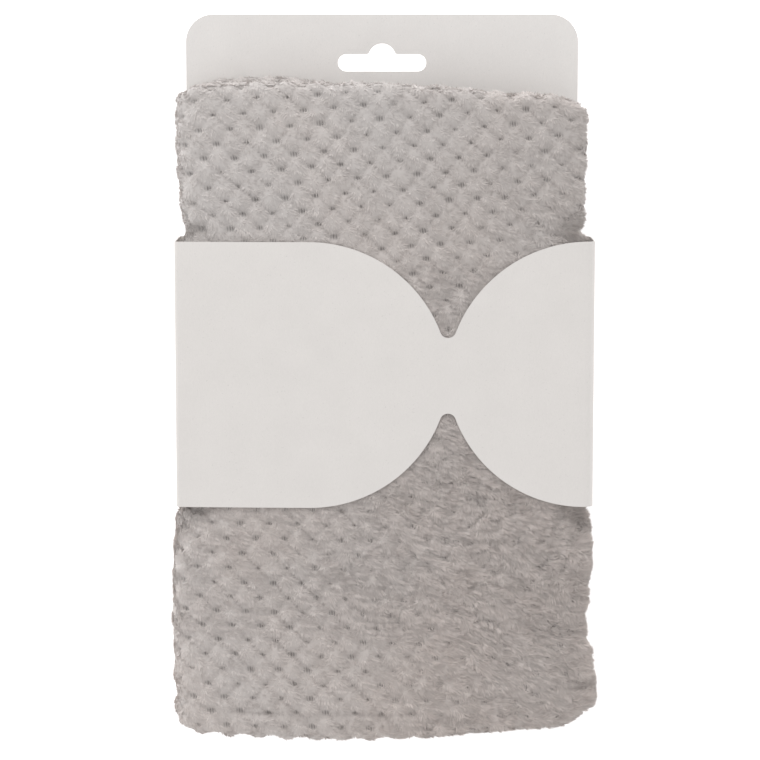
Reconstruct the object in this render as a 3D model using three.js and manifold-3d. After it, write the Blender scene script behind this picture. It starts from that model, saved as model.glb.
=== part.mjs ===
// Hair turban towel, folded flat on a hanging card and held by a die-cut card sleeve.
// Millimetres. The pack lies on its back: +Z points out of its front, +Y to the hanging slot
// and +X to the right of the front.
import * as THREE from 'three';
import { mergeVertices } from 'three/addons/utils/BufferGeometryUtils.js';
import Module from 'manifold-3d';

// Driving dimensions

// Air between two pieces that rest on each other
const clearance = 0.3;

// Hanging card, with the standard 32 mm slot
const cardSideRoom = 3.75;
const cardHeight = 250;
const cardThickness = 0.7;
const cardCornerRadius = 10;
const cardSideStep = -1;
const cardAboveTowel = 22.4;
const slotWidth = 32;
const slotHeight = 6.2;
const slotHumpRadius = 5;
const slotHumpRise = 3.8;
const slotFlareRadius = 1;
const slotBelowCardTop = 10.5;

// Card sleeve
const sleeveWidth = 150.5;
const sleeveHeight = 95.9;
const sleeveThickness = 0.5;
const sleeveLeftFold = 1.5;
const sleeveRightFold = 3;
const sleeveCrown = 2.5;
const sleeveBelowTowelTop = 58;
const scallopOverrun = 2.35;
const scallopInset = 2.9;
const scallopTipRadius = 2.9;
const scallopNeck = 27.3;

// Turban cloth: two sheets of pile fabric sewn together at the edges, folded in quarters
const foldedHeight = 241.5;
const clothWall = 2.5;
const pocketGap = 0.5;
const plyGap = 0.4;
const seamWidth = 4;
const hemWidth = 9.5;
const hemPinch = 0.5;
const foldFullness = 2.4;

// Worked out from the driving dimensions

const plyThickness = 2 * clothWall + pocketGap;
const plyPitch = plyThickness + plyGap;
const stackHeight = 3 * plyPitch + plyThickness;
const cardBack = sleeveThickness + clearance;
const stackBack = cardBack + cardThickness + clearance;
const sleeveShoulder = stackBack + stackHeight + clearance + sleeveThickness;
const halfInside = sleeveWidth / 2 - sleeveThickness - clearance;
const cardWidth = sleeveWidth - 2 * (sleeveThickness + cardSideRoom);
const towelTop = foldedHeight / 2;
const towelBottom = -foldedHeight / 2;
const sleeveTop = towelTop - sleeveBelowTowelTop;
const sleeveBottom = sleeveTop - sleeveHeight;

// Rise of the front at a distance x from the middle, over a half width
function crownAt(x, halfWidth) {
  const share = Math.min(1, Math.abs(x) / halfWidth);
  return sleeveCrown * (1 - share * share);
}

// Solids

const wasm = await Module();
wasm.setup();

function toSolid(geometry) {
  const bare = geometry.clone();
  bare.deleteAttribute('normal');
  bare.deleteAttribute('uv');
  const merged = mergeVertices(bare, 1e-5);
  const mesh = new wasm.Mesh({
    numProp: 3,
    vertProperties: new Float32Array(merged.attributes.position.array),
    triVerts: new Uint32Array(merged.index.array),
  });
  return new wasm.Manifold(mesh);
}

function toGeometry(solid) {
  const mesh = solid.getMesh();
  const geometry = new THREE.BufferGeometry();
  geometry.setAttribute('position', new THREE.BufferAttribute(mesh.vertProperties, 3));
  geometry.setIndex(new THREE.BufferAttribute(mesh.triVerts, 1));
  geometry.computeVertexNormals();
  return geometry;
}

// Skins a row of closed rings, all with the same number of points, and closes both ends
function skinRings(rings) {
  const count = rings[0].length;
  const points = rings.flat();
  const faces = [];
  for (let ring = 0; ring < rings.length - 1; ring += 1) {
    for (let i = 0; i < count; i += 1) {
      const next = (i + 1) % count;
      const a = ring * count + i;
      const b = ring * count + next;
      const c = a + count;
      const d = b + count;
      faces.push(a, b, c, b, d, c);
    }
  }
  for (const [ring, turn] of [[0, true], [rings.length - 1, false]]) {
    const base = ring * count;
    for (let i = 0; i < count / 2 - 1; i += 1) {
      const near = [base + i, base + i + 1];
      const far = [base + count - 1 - i, base + count - 2 - i];
      const pair = [[near[0], near[1], far[1]], [near[0], far[1], far[0]]];
      for (const [p, q, r] of pair) {
        if (turn) faces.push(p, r, q);
        else faces.push(p, q, r);
      }
    }
  }
  const geometry = new THREE.BufferGeometry();
  const positions = new Float32Array(points.flatMap((point) => point.toArray()));
  geometry.setAttribute('position', new THREE.BufferAttribute(positions, 3));
  geometry.setIndex(faces);
  return geometry;
}

// Hanging card: a rounded board with a slot whose middle is humped to sit level on a hook

function slotPath(centreX, bottomY) {
  const end = slotHeight / 2;
  const half = slotWidth / 2 - end;
  const topY = bottomY + slotHeight;
  const humpY = topY + slotHumpRise - slotHumpRadius;
  const flareY = topY + slotFlareRadius;
  const reach = slotHumpRadius + slotFlareRadius;
  const flareX = Math.sqrt(reach * reach - (flareY - humpY) ** 2);
  const turn = Math.atan2(flareY - humpY, flareX);
  const path = new THREE.Path();
  path.moveTo(centreX - half, bottomY);
  path.absarc(centreX + half, bottomY + end, end, -Math.PI / 2, Math.PI / 2, false);
  path.absarc(centreX + flareX, flareY, slotFlareRadius, -Math.PI / 2, Math.PI + turn, true);
  path.absarc(centreX, humpY, slotHumpRadius, turn, Math.PI - turn, false);
  path.absarc(centreX - flareX, flareY, slotFlareRadius, -turn, -Math.PI / 2, true);
  path.absarc(centreX - half, bottomY + end, end, Math.PI / 2, 1.5 * Math.PI, false);
  return path;
}

function cardGeometry() {
  const top = towelTop + cardAboveTowel;
  const bottom = top - cardHeight;
  const left = cardSideStep - cardWidth / 2;
  const right = cardSideStep + cardWidth / 2;
  const r = cardCornerRadius;
  const outline = new THREE.Shape();
  outline.moveTo(left + r, bottom);
  outline.absarc(right - r, bottom + r, r, -Math.PI / 2, 0, false);
  outline.absarc(right - r, top - r, r, 0, Math.PI / 2, false);
  outline.absarc(left + r, top - r, r, Math.PI / 2, Math.PI, false);
  outline.absarc(left + r, bottom + r, r, Math.PI, 1.5 * Math.PI, false);
  const slotBottom = top - slotBelowCardTop - slotHumpRise - slotHeight;
  outline.holes.push(slotPath(cardSideStep, slotBottom));
  const board = new THREE.ExtrudeGeometry(outline, {
    depth: cardThickness,
    bevelEnabled: false,
    curveSegments: 8,
  });
  board.translate(0, 0, cardBack);
  return toGeometry(toSolid(board));
}

// Card sleeve: one board folded round the pack, flat behind and crowned in front. Its front
// panel is cut by two scallops that leave a narrow neck between two large round ends.

// Outline of the sleeve seen along Y, set in from its outer face
function sleeveRing(Kind, inset) {
  const half = sleeveWidth / 2 - inset;
  const leftR = sleeveLeftFold - inset;
  const rightR = sleeveRightFold - inset;
  const back = inset;
  const front = sleeveShoulder - inset;
  const ring = new Kind();
  ring.moveTo(-half + leftR, back);
  ring.absarc(half - rightR, back + rightR, rightR, -Math.PI / 2, 0, false);
  ring.absarc(half - rightR, front - rightR, rightR, 0, Math.PI / 2, false);
  const crownSteps = 12;
  for (let step = 1; step < crownSteps; step += 1) {
    const share = step / crownSteps;
    const x = THREE.MathUtils.lerp(half - rightR, -half + leftR, share);
    ring.lineTo(x, front + crownAt(x, sleeveWidth / 2));
  }
  ring.absarc(-half + leftR, front - leftR, leftR, Math.PI / 2, Math.PI, false);
  ring.absarc(-half + leftR, back + leftR, leftR, Math.PI, 1.5 * Math.PI, false);
  return ring;
}

// One scallop cut, for the upper edge (side 1) or the lower edge (side -1)
function scallopCutter(side) {
  const radius = sleeveHeight / 2 + scallopOverrun;
  const drop = sleeveHeight / 2 - radius;
  const tipY = scallopNeck / 2 + scallopTipRadius;
  const reach = radius + scallopTipRadius;
  const spread = Math.sqrt(reach * reach - (tipY - drop) ** 2);
  const turn = Math.atan2(tipY - drop, spread);
  const rightX = sleeveWidth / 2 - scallopInset;
  const tipX = rightX - spread;
  const leftX = tipX - spread;
  const beyond = sleeveHeight;
  const cut = new THREE.Shape();
  cut.moveTo(leftX, beyond);
  cut.absarc(leftX, drop, radius, Math.PI / 2, turn, true);
  cut.absarc(tipX, tipY, scallopTipRadius, Math.PI + turn, 2 * Math.PI - turn, false);
  cut.absarc(rightX, drop, radius, Math.PI - turn, Math.PI / 2, true);
  cut.lineTo(rightX, beyond);
  const depth = sleeveShoulder + sleeveCrown;
  const cutter = new THREE.ExtrudeGeometry(cut, {
    depth,
    bevelEnabled: false,
    curveSegments: 24,
  });
  if (side < 0) cutter.rotateX(Math.PI);
  const lift = side < 0 ? depth : 0;
  cutter.translate(0, (sleeveTop + sleeveBottom) / 2, sleeveShoulder / 2 + lift);
  return cutter;
}

function sleeveGeometry() {
  const outline = sleeveRing(THREE.Shape, 0);
  outline.holes.push(sleeveRing(THREE.Path, sleeveThickness));
  const band = new THREE.ExtrudeGeometry(outline, {
    depth: sleeveHeight,
    bevelEnabled: false,
    curveSegments: 5,
  });
  band.rotateX(Math.PI / 2);
  band.translate(0, sleeveTop, 0);
  let solid = toSolid(band);
  for (const side of [1, -1]) solid = solid.subtract(toSolid(scallopCutter(side)));
  return toGeometry(solid);
}

// Turban: a long double cloth, wide at the head and tapered at the tail, folded in quarters.
// Seen along Y its length runs from the tail at the back right, across the back, round the
// left fold, across the front, round the right fold, and back inside to the head end.

// Upper and lower edges of the folded pack. x is a share of the half width, and the other
// lengths are shares of the folded height.
const packEdges = [
  { x: -1.0, topDrop: 0.022, bottomRise: 0.019 },
  { x: -0.9, topDrop: 0.006, bottomRise: 0.013 },
  { x: -0.6, topDrop: 0.000, bottomRise: 0.006 },
  { x: -0.3, topDrop: 0.002, bottomRise: 0.000 },
  { x: 0.0, topDrop: 0.003, bottomRise: 0.001 },
  { x: 0.3, topDrop: 0.007, bottomRise: 0.005 },
  { x: 0.6, topDrop: 0.018, bottomRise: 0.015 },
  { x: 0.85, topDrop: 0.020, bottomRise: 0.018 },
  { x: 1.0, topDrop: 0.036, bottomRise: 0.040 },
];

// How far each ply's edges lie inside the pack's, from the back ply to the front one, in
// shares of the ply's thickness
const plyInsets = [
  { top: 0.0, bottom: 0.2 },
  { top: 0.35, bottom: 0.4 },
  { top: 0.2, bottom: 0.25 },
  { top: 0.3, bottom: 0.0 },
];

// Taper along the cloth. at is a share of its length from the tail, and above and below are
// shares of the overhang past the sleeve's two edges.
const taper = [
  { at: 0.0, above: 0.30, below: 0.25 },
  { at: 0.05, above: 0.62, below: 0.62 },
  { at: 0.11, above: 0.88, below: 0.92 },
  { at: 0.18, above: 1.0, below: 1.0 },
  { at: 0.96, above: 1.0, below: 1.0 },
  { at: 1.0, above: 0.95, below: 0.96 },
];

// Side outline and thickness of the pack outside the sleeve. at is a share of the overhang
// from the sleeve's edge, left and right are shares of the half width, loft of the stack.
const rowsAbove = [
  { at: 0.0, left: 1.0, right: 1.0, loft: 1.0 },
  { at: 0.07, left: 0.978, right: 0.960, loft: 1.01 },
  { at: 0.3, left: 0.986, right: 0.955, loft: 1.03 },
  { at: 0.6, left: 1.002, right: 0.968, loft: 1.02 },
  { at: 0.86, left: 1.0, right: 0.965, loft: 0.98 },
  { at: 1.0, left: 0.990, right: 0.952, loft: 0.94 },
];
const rowsBelow = [
  { at: 0.0, left: 1.0, right: 1.0, loft: 1.0 },
  { at: 0.05, left: 1.030, right: 1.014, loft: 1.01 },
  { at: 0.28, left: 1.030, right: 1.010, loft: 1.04 },
  { at: 0.58, left: 1.036, right: 0.978, loft: 1.04 },
  { at: 0.7, left: 1.034, right: 1.010, loft: 1.03 },
  { at: 0.9, left: 1.028, right: 1.035, loft: 1.01 },
];

// The hem, a row of pile between the edge and the groove beside it. rise is a share of the
// hem's width, and pinch is the share of the groove's depth.
const rowsHem = [
  { rise: 1.35, left: 1.030, right: 1.045, loft: 1.0, pinch: 0 },
  { rise: 1.0, left: 1.026, right: 1.045, loft: 0.99, pinch: 1 },
  { rise: 0.6, left: 1.022, right: 1.040, loft: 0.98, pinch: 0 },
  { rise: 0.0, left: 1.016, right: 1.030, loft: 0.96, pinch: 0 },
];

function interpolate(table, key, at, column) {
  const last = table.length - 1;
  if (at <= table[0][key]) return table[0][column];
  for (let i = 0; i < last; i += 1) {
    const low = table[i];
    const high = table[i + 1];
    if (at <= high[key]) {
      const share = (at - low[key]) / (high[key] - low[key]);
      return THREE.MathUtils.lerp(low[column], high[column], share);
    }
  }
  return table[last][column];
}

// Middle line of the folded cloth seen along Y, as stations with a place, the normal that
// points to the cloth's outer side, the ply that they belong to and the length so far
function foldedLine() {
  const bendDepth = 1.5 * plyPitch;
  const leftBend = -halfInside + plyThickness / 2 + bendDepth;
  const foldRadius = plyPitch / 2;
  const rightFold = halfInside - plyThickness / 2 - foldRadius;
  const innerFold = leftBend - bendDepth + plyThickness + plyGap + foldRadius;
  const plyMiddle = (ply) => stackBack + plyThickness / 2 + ply * plyPitch;
  const tailEnd = halfInside - plyThickness / 2;
  const headEnd = halfInside - plyThickness;
  const margin = Math.max(plyPitch, 2 * seamWidth);
  const stations = [];
  const place = (x, z, ply) => stations.push({ x, z, ply });
  const straight = (from, to, ply) => {
    const inside = packEdges.map((row) => row.x * halfInside);
    if (to < from) inside.reverse();
    const low = Math.min(from, to) + margin;
    const high = Math.max(from, to) - margin;
    place(from, plyMiddle(ply), ply);
    for (const x of inside) if (x > low && x < high) place(x, plyMiddle(ply), ply);
    place(to, plyMiddle(ply), ply);
  };
  const bend = ({ x, side, depth, steps, fullness, from, to }) => {
    const z = plyMiddle((from + to) / 2);
    for (let step = 1; step < steps; step += 1) {
      const angle = Math.PI * (step / steps - 0.5);
      const out = Math.cos(angle) ** (2 / fullness);
      const rise = Math.sign(angle) * Math.abs(Math.sin(angle)) ** (2 / fullness);
      const ply = THREE.MathUtils.lerp(from, to, step / steps);
      place(x + side * depth * out, z + Math.sign(to - from) * depth * rise, ply);
    }
  };
  const tight = { depth: foldRadius, steps: 6, fullness: 2 };
  const wide = { depth: bendDepth, steps: 10, fullness: foldFullness };
  straight(tailEnd, leftBend, 0);
  bend({ ...wide, x: leftBend, side: -1, from: 0, to: 3 });
  straight(leftBend, rightFold, 3);
  bend({ ...tight, x: rightFold, side: 1, from: 3, to: 2 });
  straight(rightFold, innerFold, 2);
  bend({ ...tight, x: innerFold, side: -1, from: 2, to: 1 });
  straight(innerFold, headEnd, 1);

  let length = 0;
  stations.forEach((station, i) => {
    const before = stations[Math.max(0, i - 1)];
    const after = stations[Math.min(stations.length - 1, i + 1)];
    const along = new THREE.Vector2(after.x - before.x, after.z - before.z).normalize();
    station.normal = new THREE.Vector2(along.y, -along.x);
    if (i > 0) length += Math.hypot(station.x - before.x, station.z - before.z);
    station.length = length;
  });
  const flat = (station) => Number.isInteger(station.ply);
  for (const station of stations) {
    if (flat(station)) station.normal.set(0, Math.sign(station.normal.y));
    station.share = station.length / length;
  }
  return stations;
}

// Places a point of the cloth: a station along it, a height and an offset through it
function placePoint(station, y, row, offset) {
  const x = station.x + station.normal.x * offset;
  const z = station.z + station.normal.y * offset;
  const side = x < 0 ? row.left : row.right;
  const crown = 1 + crownAt(x, halfInside) / stackHeight;
  const lifted = stackBack + (z - stackBack) * row.loft * crown;
  return new THREE.Vector3(x * side, y, lifted);
}

// Rows of one ring at a station, from the lower edge to the upper one
function clothRows(station) {
  const edge = (column) => interpolate(packEdges, 'x', station.x / halfInside, column);
  const inset = (column) => {
    const low = plyInsets[Math.floor(station.ply)][column];
    const high = plyInsets[Math.ceil(station.ply)][column];
    return THREE.MathUtils.lerp(low, high, station.ply % 1) * plyThickness;
  };
  const above = interpolate(taper, 'at', station.share, 'above');
  const below = interpolate(taper, 'at', station.share, 'below');
  const fullTop = towelTop - edge('topDrop') * foldedHeight - inset('top');
  const fullBottom = towelBottom + edge('bottomRise') * foldedHeight + inset('bottom');
  const top = THREE.MathUtils.lerp(sleeveTop, fullTop, above);
  const bottom = THREE.MathUtils.lerp(sleeveBottom, fullBottom, below);
  const round = plyThickness / 2;
  const rows = [];
  const hem = Math.min(hemWidth, (sleeveBottom - bottom) / 2);
  for (const row of [...rowsHem].reverse()) {
    const y = bottom + round + row.rise * (hem - round);
    rows.push({ ...row, y });
  }
  const hemTop = rows[rows.length - 1].y;
  for (const row of [...rowsBelow].reverse()) {
    rows.push({ pinch: 0, ...row, y: sleeveBottom - row.at * (sleeveBottom - hemTop) });
  }
  for (const row of rowsAbove) {
    rows.push({ pinch: 0, ...row, y: sleeveTop + row.at * (top - round - sleeveTop) });
  }
  return { rows, top, bottom };
}

// Angles, from the edge's tip, of the points that round a ply's upper and lower edges
const edgeTurns = [Math.PI / 8, Math.PI / 3.4];

// How a ply's two ends are rounded: shares of its thickness, for how far in and how thick
const plyEnds = [
  { inset: 0.0, thickness: 0.45 },
  { inset: 0.12, thickness: 0.82 },
  { inset: 0.4, thickness: 1.0 },
];

// Ring round the cloth's outside at a station. Its two edges are rounded.
function outerRing(station, slim) {
  const { rows, top, bottom } = clothRows(station);
  const half = (plyThickness / 2) * slim;
  const front = [];
  const back = [];
  const lowRow = rows[0];
  const highRow = rows[rows.length - 1];
  for (const angle of edgeTurns) {
    const y = lowRow.y - (lowRow.y - bottom) * Math.cos(angle);
    front.push(placePoint(station, y, lowRow, half * Math.sin(angle)));
    back.push(placePoint(station, y, lowRow, -half * Math.sin(angle)));
  }
  for (const row of rows) {
    const pinched = half - row.pinch * hemPinch * slim;
    front.push(placePoint(station, row.y, row, pinched));
    back.push(placePoint(station, row.y, row, -pinched));
  }
  for (const angle of [...edgeTurns].reverse()) {
    const y = highRow.y + (top - highRow.y) * Math.cos(angle);
    front.push(placePoint(station, y, highRow, half * Math.sin(angle)));
    back.push(placePoint(station, y, highRow, -half * Math.sin(angle)));
  }
  return [...front, ...back.reverse()];
}

// Ring round the pocket between the two sheets. It runs out through the upper edge along the
// head opening, which is on the two inner plies.
function pocketRing(station, open) {
  const { rows, top, bottom } = clothRows(station);
  const low = bottom + seamWidth;
  const high = top - seamWidth;
  const lowest = rows[0].y;
  const highRow = rows[rows.length - 1];
  const squeeze = (high - low) / (highRow.y - lowest);
  const kept = rows.map((row) => ({ ...row, y: low + (row.y - lowest) * squeeze }));
  kept.push({ ...highRow, y: open ? top + plyThickness : high + pocketGap });
  const front = kept.map((row) => placePoint(station, row.y, row, pocketGap / 2));
  const back = kept.map((row) => placePoint(station, row.y, row, -pocketGap / 2));
  return [...front, ...back.reverse()];
}

function towelGeometry() {
  const line = foldedLine();
  const first = line[0];
  const last = line[line.length - 1];
  const inward = (station, by) => ({ ...station, x: station.x - by });
  const endRings = (station) => plyEnds.map((end) => {
    return outerRing(inward(station, end.inset * plyThickness), end.thickness);
  });
  const outer = [
    ...endRings(first),
    ...line.slice(1, -1).map((station) => outerRing(station, 1)),
    ...endRings(last).reverse(),
  ];
  const frontEnd = line.findLastIndex((station) => station.ply === 3);
  const isOpen = (station) => line.indexOf(station) > frontEnd;
  const pocket = [
    pocketRing(inward(first, seamWidth), false),
    ...line.slice(1, -1).map((station) => pocketRing(station, isOpen(station))),
    pocketRing(inward(last, seamWidth), false),
  ];
  const cloth = toSolid(skinRings(outer));
  const hollow = toSolid(skinRings(pocket));
  return toGeometry(cloth.subtract(hollow));
}

// Assembly

function piece(name, geometry, colour, roughness) {
  const material = new THREE.MeshStandardMaterial({ color: colour, roughness, metalness: 0 });
  const mesh = new THREE.Mesh(geometry, material);
  mesh.name = name;
  return mesh;
}

const pack = new THREE.Group();
pack.add(piece('towel', towelGeometry(), 0xb0a7a2, 0.95));
pack.add(piece('hanging_card', cardGeometry(), 0xdbd7d3, 0.7));
pack.add(piece('card_sleeve', sleeveGeometry(), 0xddd9d5, 0.65));

// The origin lies under the middle of the pack's outline
const box = new THREE.Box3().setFromObject(pack);
const middle = box.getCenter(new THREE.Vector3());
pack.position.set(-middle.x, -middle.y, 0);

export default pack;
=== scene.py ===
# Hair turban towel, folded flat on a hanging card and held by a die-cut card sleeve.
# Metres. +Z points out of the front of the pack, +Y to the hanging slot and +X to the right.
import math

import bpy
import numpy as np
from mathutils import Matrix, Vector


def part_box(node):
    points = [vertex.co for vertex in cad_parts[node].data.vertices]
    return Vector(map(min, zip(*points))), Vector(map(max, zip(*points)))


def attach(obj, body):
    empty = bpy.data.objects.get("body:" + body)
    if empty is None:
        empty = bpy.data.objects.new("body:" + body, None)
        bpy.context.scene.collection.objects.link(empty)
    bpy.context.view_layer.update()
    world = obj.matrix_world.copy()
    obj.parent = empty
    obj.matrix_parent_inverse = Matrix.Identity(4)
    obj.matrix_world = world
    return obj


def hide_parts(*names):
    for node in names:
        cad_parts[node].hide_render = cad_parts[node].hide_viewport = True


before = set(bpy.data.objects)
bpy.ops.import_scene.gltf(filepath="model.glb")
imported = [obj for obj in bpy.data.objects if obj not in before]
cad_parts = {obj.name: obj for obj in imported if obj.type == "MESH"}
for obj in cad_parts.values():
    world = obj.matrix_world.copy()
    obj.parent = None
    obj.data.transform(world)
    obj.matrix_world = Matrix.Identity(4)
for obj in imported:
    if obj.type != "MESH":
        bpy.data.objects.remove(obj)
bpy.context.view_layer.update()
mm = 0.001


# Hanging card
# The real card is plain pale grey board, 0.7 mm thick, that the cloth is folded on to. It is
# die-cut, with round corners and a slot whose hump centres it on a shop's display hook.

card_low, card_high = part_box("hanging_card")
card_middle_x = (card_low.x + card_high.x) / 2
card_corner_radius = 10 * mm
card_edge_wear = 0.1 * mm
slot_width = 32 * mm
slot_height = 6.2 * mm
slot_hump_radius = 5 * mm
slot_hump_rise = 3.8 * mm
slot_flare_radius = 1 * mm
slot_below_card_top = 10.5 * mm
cut_reach = 3 * mm
card_colour = (0.790, 0.765, 0.745, 1)

# Just under half, so that the two rounded corners of an end do not meet in one point
slot_end_radius = 0.4999 * slot_height


def select_only(piece):
    bpy.ops.object.select_all(action="DESELECT")
    piece.select_set(True)
    bpy.context.view_layer.objects.active = piece


def settle(name):
    """Names the new primitive and puts its place into its mesh."""
    piece = bpy.context.object
    piece.name = name
    bpy.ops.object.transform_apply(location=True, rotation=True, scale=True)
    return piece


def add_block(name, corner, opposite):
    """A rectangular block between two opposite corners."""
    bpy.ops.object.select_all(action="DESELECT")
    low = Vector(map(min, corner, opposite))
    high = Vector(map(max, corner, opposite))
    bpy.ops.mesh.primitive_cube_add(size=1, location=(low + high) / 2, scale=high - low)
    return settle(name)


def add_disc(name, x, y, radius, low_z, high_z, sides):
    """A round block that stands on its end."""
    bpy.ops.object.select_all(action="DESELECT")
    place = (x, y, (low_z + high_z) / 2)
    bpy.ops.mesh.primitive_cylinder_add(
        vertices=sides, radius=radius, depth=high_z - low_z, location=place
    )
    return settle(name)


def pick(piece, kind, wanted):
    """Opens a piece for editing with the edges or faces selected that pass a test."""
    select_only(piece)
    bpy.ops.object.mode_set(mode="EDIT")
    bpy.ops.mesh.select_mode(type=kind)
    bpy.ops.mesh.select_all(action="DESELECT")
    bpy.ops.object.mode_set(mode="OBJECT")
    points = piece.data.vertices
    for item in piece.data.edges if kind == "EDGE" else piece.data.polygons:
        item.select = wanted([points[i].co for i in item.vertices])
    bpy.ops.object.mode_set(mode="EDIT")


def spans(axis, least):
    """A test for an edge that runs along one axis for at least this far."""
    def wanted(ends):
        run = [abs(a - b) for a, b in zip(*ends)]
        return run[axis] >= least and run[axis] >= 0.999 * math.hypot(*run)
    return wanted


def round_edges(piece, wanted, radius, segments):
    """Rounds the edges of a piece that pass a test."""
    pick(piece, "EDGE", wanted)
    bpy.ops.mesh.bevel(offset=radius, segments=segments, affect="EDGES")
    bpy.ops.object.mode_set(mode="OBJECT")


def finish_with(piece, kind, **settings):
    """Gives a piece a modifier and applies it."""
    select_only(piece)
    modifier = piece.modifiers.new(kind.lower(), kind)
    for name, value in settings.items():
        setattr(modifier, name, value)
    bpy.ops.object.modifier_apply(modifier=modifier.name)


def cut(piece, *cutters):
    """Takes cutters away from a piece, and removes them."""
    for cutter in cutters:
        finish_with(piece, "BOOLEAN", object=cutter, operation="DIFFERENCE", solver="EXACT")
        bpy.data.objects.remove(cutter)


def smooth_faces(piece, angle):
    """Shades a piece smooth across edges that bend less than an angle in degrees."""
    select_only(piece)
    bpy.ops.object.shade_smooth_by_angle(angle=math.radians(angle))


def add_node(tree, kind, inputs=None, **settings):
    """Adds a shader node, and links or sets its inputs by name or number."""
    node = tree.nodes.new(kind)
    for name, value in settings.items():
        setattr(node, name, value)
    for name, value in (inputs or {}).items():
        if isinstance(value, bpy.types.NodeSocket):
            tree.links.new(value, node.inputs[name])
        else:
            node.inputs[name].default_value = value
    return node


def arithmetic(tree, operation, *values):
    """The result of a maths node on numbers or sockets."""
    node = add_node(tree, "ShaderNodeMath", dict(enumerate(values)), operation=operation)
    return node.outputs[0]


def blend_colours(tree, share, first, second):
    """Goes from the first colour to the second. All three inputs are sockets."""
    node = tree.nodes.new("ShaderNodeMix")
    node.data_type = "RGBA"
    links = (("Factor", "VALUE", share), ("A", "RGBA", first), ("B", "RGBA", second))
    for name, kind, value in links:
        socket = next(s for s in node.inputs if s.name == name and s.type == kind)
        tree.links.new(value, socket)
    return next(s for s in node.outputs if s.type == "RGBA")


def new_group(name, sockets):
    """A shader node group with its inputs and outputs."""
    group = bpy.data.node_groups.new(name, "ShaderNodeTree")
    for title, way, kind in sockets:
        group.interface.new_socket(title, in_out=way, socket_type=kind)
    start = group.nodes.new("NodeGroupInput")
    end = group.nodes.new("NodeGroupOutput")
    return group, start, end


def new_material(name):
    """A material, its node tree and its shader."""
    material = bpy.data.materials.new(name)
    material.use_nodes = True
    tree = material.node_tree
    return material, tree, tree.nodes["Principled BSDF"]


# Uncoated board is felted from short wood fibres: faint mottling, fine fibres and a few flecks
def make_board_grain():
    group, start, end = new_group("board grain", [
        ("Place", "INPUT", "NodeSocketVector"),
        ("Board", "INPUT", "NodeSocketColor"),
        ("Colour", "OUTPUT", "NodeSocketColor"),
        ("Roughness", "OUTPUT", "NodeSocketFloat"),
        ("Height", "OUTPUT", "NodeSocketFloat"),
    ])
    place = start.outputs["Place"]
    mottle = add_node(group, "ShaderNodeTexNoise", {"Vector": place, "Scale": 70, "Detail": 3})
    long_way = add_node(group, "ShaderNodeMapping", {"Vector": place, "Scale": (1, 0.35, 1)})
    fibres = add_node(group, "ShaderNodeTexNoise", {
        "Vector": long_way.outputs[0], "Scale": 2200, "Detail": 4, "Distortion": 1.5,
    })
    flecks = add_node(group, "ShaderNodeTexNoise", {"Vector": place, "Scale": 1500, "Detail": 1})
    fleck_mask = add_node(group, "ShaderNodeMapRange", {
        "Value": flecks.outputs["Fac"], "From Min": 0.70, "From Max": 0.78,
        "To Min": 1.0, "To Max": 0.9,
    })
    soft = add_node(group, "ShaderNodeMapRange", {
        "Value": mottle.outputs["Fac"], "From Min": 0.3, "From Max": 0.7,
        "To Min": 0.985, "To Max": 1.015,
    })
    fine = add_node(group, "ShaderNodeMapRange", {
        "Value": fibres.outputs["Fac"], "From Min": 0.3, "From Max": 0.7,
        "To Min": 0.975, "To Max": 1.02,
    })
    tone = arithmetic(group, "MULTIPLY", soft.outputs[0], fine.outputs[0])
    tone = arithmetic(group, "MULTIPLY", tone, fleck_mask.outputs[0])
    colour = add_node(group, "ShaderNodeVectorMath", {
        0: start.outputs["Board"], 1: tone,
    }, operation="MULTIPLY")
    rough = add_node(group, "ShaderNodeMapRange", {
        "Value": fibres.outputs["Fac"], "To Min": 0.62, "To Max": 0.86,
    })
    group.links.new(colour.outputs[0], end.inputs["Colour"])
    group.links.new(rough.outputs[0], end.inputs["Roughness"])
    group.links.new(fibres.outputs["Fac"], end.inputs["Height"])
    return group


board_grain = make_board_grain()


def board_material(name, colour):
    material, tree, shader = new_material(name)
    place = add_node(tree, "ShaderNodeTexCoord")
    grain = add_node(tree, "ShaderNodeGroup", node_tree=board_grain)
    tree.links.new(place.outputs["Object"], grain.inputs["Place"])
    grain.inputs["Board"].default_value = colour
    bump = add_node(tree, "ShaderNodeBump", {
        "Height": grain.outputs["Height"], "Strength": 0.25, "Distance": 0.05 * mm,
    })
    tree.links.new(grain.outputs["Colour"], shader.inputs["Base Color"])
    tree.links.new(grain.outputs["Roughness"], shader.inputs["Roughness"])
    tree.links.new(bump.outputs["Normal"], shader.inputs["Normal"])
    shader.inputs["Specular IOR Level"].default_value = 0.25
    return material


card = add_block("card_board", card_low, card_high)
round_edges(card, spans(2, 0.5 * mm), card_corner_radius, segments=20)

slot_top = card_high.y - slot_below_card_top - slot_hump_rise
slot_left = card_middle_x - slot_width / 2
slot_right = card_middle_x + slot_width / 2
slot_hole = add_block(
    "slot_hole",
    (slot_left, slot_top - slot_height, -cut_reach),
    (slot_right, slot_top, cut_reach),
)
round_edges(slot_hole, spans(2, cut_reach), slot_end_radius, segments=12)
hump_y = slot_top + slot_hump_rise - slot_hump_radius
hump_hole = add_disc(
    "hump_hole", card_middle_x, hump_y, slot_hump_radius, -cut_reach, cut_reach, sides=64
)
flare_y = slot_top + slot_flare_radius
flare_x = math.sqrt((slot_hump_radius + slot_flare_radius) ** 2 - (flare_y - hump_y) ** 2)
flare_touch = slot_hump_radius / (slot_hump_radius + slot_flare_radius)
flare_hole = add_block(
    "flare_hole",
    (card_middle_x - flare_x, slot_top - slot_flare_radius, -cut_reach),
    (card_middle_x + flare_x, hump_y + (flare_y - hump_y) * flare_touch, cut_reach),
)
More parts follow.
